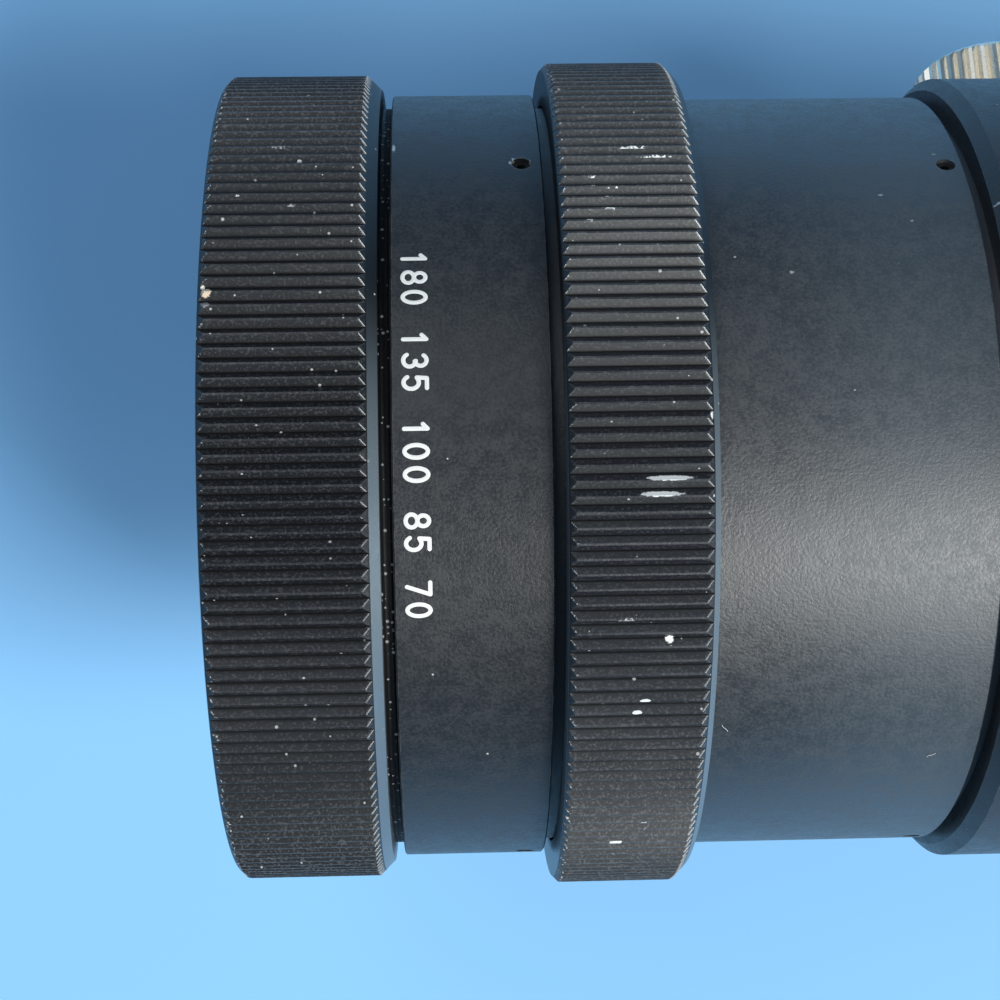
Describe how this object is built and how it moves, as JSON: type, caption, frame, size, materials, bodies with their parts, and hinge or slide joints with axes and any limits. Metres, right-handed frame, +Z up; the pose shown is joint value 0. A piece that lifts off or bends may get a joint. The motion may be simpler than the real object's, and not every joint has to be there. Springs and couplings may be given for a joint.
{
  "type": "telephoto zoom lens",
  "caption": "Black metal telephoto zoom lens: knurled focus and zoom rings, turning tripod collar with a bright lock knob and a foot, aperture ring and bayonet mount.",
  "frame": {"origin": "centre of the camera mount flange, on the optical axis", "axes": "+X along the optical axis from the front glass to the mount, the longest side; +Z up, away from the tripod foot"},
  "size_m": [0.2454, 0.0952, 0.107],
  "materials": {
    "grip_black": "black anodised, straight knurl, worn bright on the crests",
    "barrel_black": "fine blasted satin black anodise",
    "cell_black": "matt black anodised, fine turned lines",
    "inner_metal": "turned and dull anodised",
    "brass": "turned",
    "screw_black": "blackened steel",
    "steel": "plain turned",
    "blade_steel": "blued spring steel",
    "knob_bright": "satin chrome with a straight knurl",
    "mount_chrome": "polished, turned",
    "coated_glass": "coated optical glass"
  },
  "bodies": {
    "main_barrel": {"front_barrel": "barrel_black", "front_barrel_set_screws": "screw_black", "cell_key": "brass", "guide_tube": "inner_metal", "main_barrel": "inner_metal", "cover_sleeve": "barrel_black", "cover_set_screws": "screw_black", "collar_nut": "barrel_black", "rear_barrel": "barrel_black", "iris_base": "inner_metal", "iris_nut": "cell_black", "relay_tube": "cell_black", "relay_front_glass": "coated_glass", "relay_middle_glass": "coated_glass", "relay_rear_glass": "coated_glass", "relay_front_spacer": "cell_black", "relay_rear_spacer": "cell_black", "relay_end_ring": "cell_black", "mount_base": "cell_black", "bayonet_ring": "mount_chrome", "mount_screws": "steel"},
    "front_cell": {"front_cell": "cell_black", "cell_retainer": "cell_black", "front_glass": "coated_glass", "front_bezel": "cell_black", "front_spacer": "cell_black", "front_doublet": "coated_glass"},
    "focus_ring": {"focus_ring": "grip_black"},
    "zoom_ring": {"zoom_ring": "grip_black", "zoom_ring_screws": "screw_black", "cam_barrel": "inner_metal"},
    "variator": {"variator_cell": "brass", "variator_rollers": "brass", "variator_glass": "coated_glass", "variator_ring": "cell_black"},
    "compensator": {"compensator_cell": "brass", "compensator_rollers": "brass", "compensator_glass": "coated_glass", "compensator_ring": "cell_black"},
    "collar": {"tripod_collar": "barrel_black", "collar_foot": "barrel_black", "foot_screws": "screw_black"},
    "pad": {"pressure_pad": "brass"},
    "knob": {"lock_knob": "knob_bright", "lock_stud": "steel"},
    "aperture_ring": {"aperture_ring": "barrel_black", "link_screw": "screw_black", "link_bar": "steel", "iris_drive_ring": "inner_metal"},
    "blade_1": {"iris_blade_1": "blade_steel"},
    "blade_2": {"iris_blade_2": "blade_steel"},
    "blade_3": {"iris_blade_3": "blade_steel"},
    "blade_4": {"iris_blade_4": "blade_steel"},
    "blade_5": {"iris_blade_5": "blade_steel"},
    "blade_6": {"iris_blade_6": "blade_steel"},
    "blade_7": {"iris_blade_7": "blade_steel"}
  },
  "joints": [
    {"name": "focus_travel", "type": "slide", "parent": "main_barrel", "child": "front_cell", "axis": [-1, 0, 0], "range_m": [0, 0.006]},
    {"name": "focus_turn", "type": "hinge", "parent": "front_cell", "child": "focus_ring", "pos_m": [-0.23, 0, 0], "axis": [1, 0, 0], "range_deg": [0, 240]},
    {"name": "zoom_turn", "type": "hinge", "parent": "main_barrel", "child": "zoom_ring", "pos_m": [-0.2, 0, 0], "axis": [1, 0, 0], "range_deg": [0, 90]},
    {"name": "variator_slide", "type": "slide", "parent": "main_barrel", "child": "variator", "axis": [1, 0, 0], "range_m": [0, 0.032]},
    {"name": "compensator_slide", "type": "slide", "parent": "main_barrel", "child": "compensator", "axis": [1, 0, 0], "range_m": [0, 0.005]},
    {"name": "collar_turn", "type": "hinge", "parent": "main_barrel", "child": "collar", "pos_m": [-0.1506, 0, 0], "axis": [1, 0, 0], "continuous": true},
    {"name": "pad_slide", "type": "slide", "parent": "collar", "child": "pad", "axis": [0, 0.9232, -0.3843], "range_m": [0, 0.001]},
    {"name": "knob_turn", "type": "hinge", "parent": "pad", "child": "knob", "pos_m": [-0.1506, 0.04247, -0.01768], "axis": [0, 0.9232, -0.3843], "range_deg": [0, 360]},
    {"name": "aperture_turn", "type": "hinge", "parent": "main_barrel", "child": "aperture_ring", "pos_m": [-0.03, 0, 0], "axis": [1, 0, 0], "range_deg": [0, 30]},
    {"name": "blade_1_turn", "type": "hinge", "parent": "main_barrel", "child": "blade_1", "pos_m": [-0.101, 0.0244, 0], "axis": [1, 0, 0], "range_deg": [0, 36]},
    {"name": "blade_2_turn", "type": "hinge", "parent": "main_barrel", "child": "blade_2", "pos_m": [-0.101, 0.01521, 0.01908], "axis": [1, 0, 0], "range_deg": [0, 36]},
    {"name": "blade_3_turn", "type": "hinge", "parent": "main_barrel", "child": "blade_3", "pos_m": [-0.101, -0.00543, 0.02379], "axis": [1, 0, 0], "range_deg": [0, 36]},
    {"name": "blade_4_turn", "type": "hinge", "parent": "main_barrel", "child": "blade_4", "pos_m": [-0.101, -0.02198, 0.01059], "axis": [1, 0, 0], "range_deg": [0, 36]},
    {"name": "blade_5_turn", "type": "hinge", "parent": "main_barrel", "child": "blade_5", "pos_m": [-0.101, -0.02198, -0.01059], "axis": [1, 0, 0], "range_deg": [0, 36]},
    {"name": "blade_6_turn", "type": "hinge", "parent": "main_barrel", "child": "blade_6", "pos_m": [-0.101, -0.00543, -0.02379], "axis": [1, 0, 0], "range_deg": [0, 36]},
    {"name": "blade_7_turn", "type": "hinge", "parent": "main_barrel", "child": "blade_7", "pos_m": [-0.101, 0.01521, -0.01908], "axis": [1, 0, 0], "range_deg": [0, 36]}
  ],
  "couplings": [
    {"joint": "focus_travel", "follows": "focus_turn", "m_per_rad": 0.0014324},
    {"joint": "variator_slide", "follows": "zoom_turn", "m_per_rad": 0.020372},
    {"joint": "compensator_slide", "follows": "zoom_turn", "m_per_rad": 0.0031831},
    {"joint": "pad_slide", "follows": "knob_turn", "m_per_rad": 0.00015915},
    {"joint": "blade_1_turn", "follows": "aperture_turn", "ratio": 1.2},
    {"joint": "blade_2_turn", "follows": "aperture_turn", "ratio": 1.2},
    {"joint": "blade_3_turn", "follows": "aperture_turn", "ratio": 1.2},
    {"joint": "blade_4_turn", "follows": "aperture_turn", "ratio": 1.2},
    {"joint": "blade_5_turn", "follows": "aperture_turn", "ratio": 1.2},
    {"joint": "blade_6_turn", "follows": "aperture_turn", "ratio": 1.2},
    {"joint": "blade_7_turn", "follows": "aperture_turn", "ratio": 1.2}
  ]
}
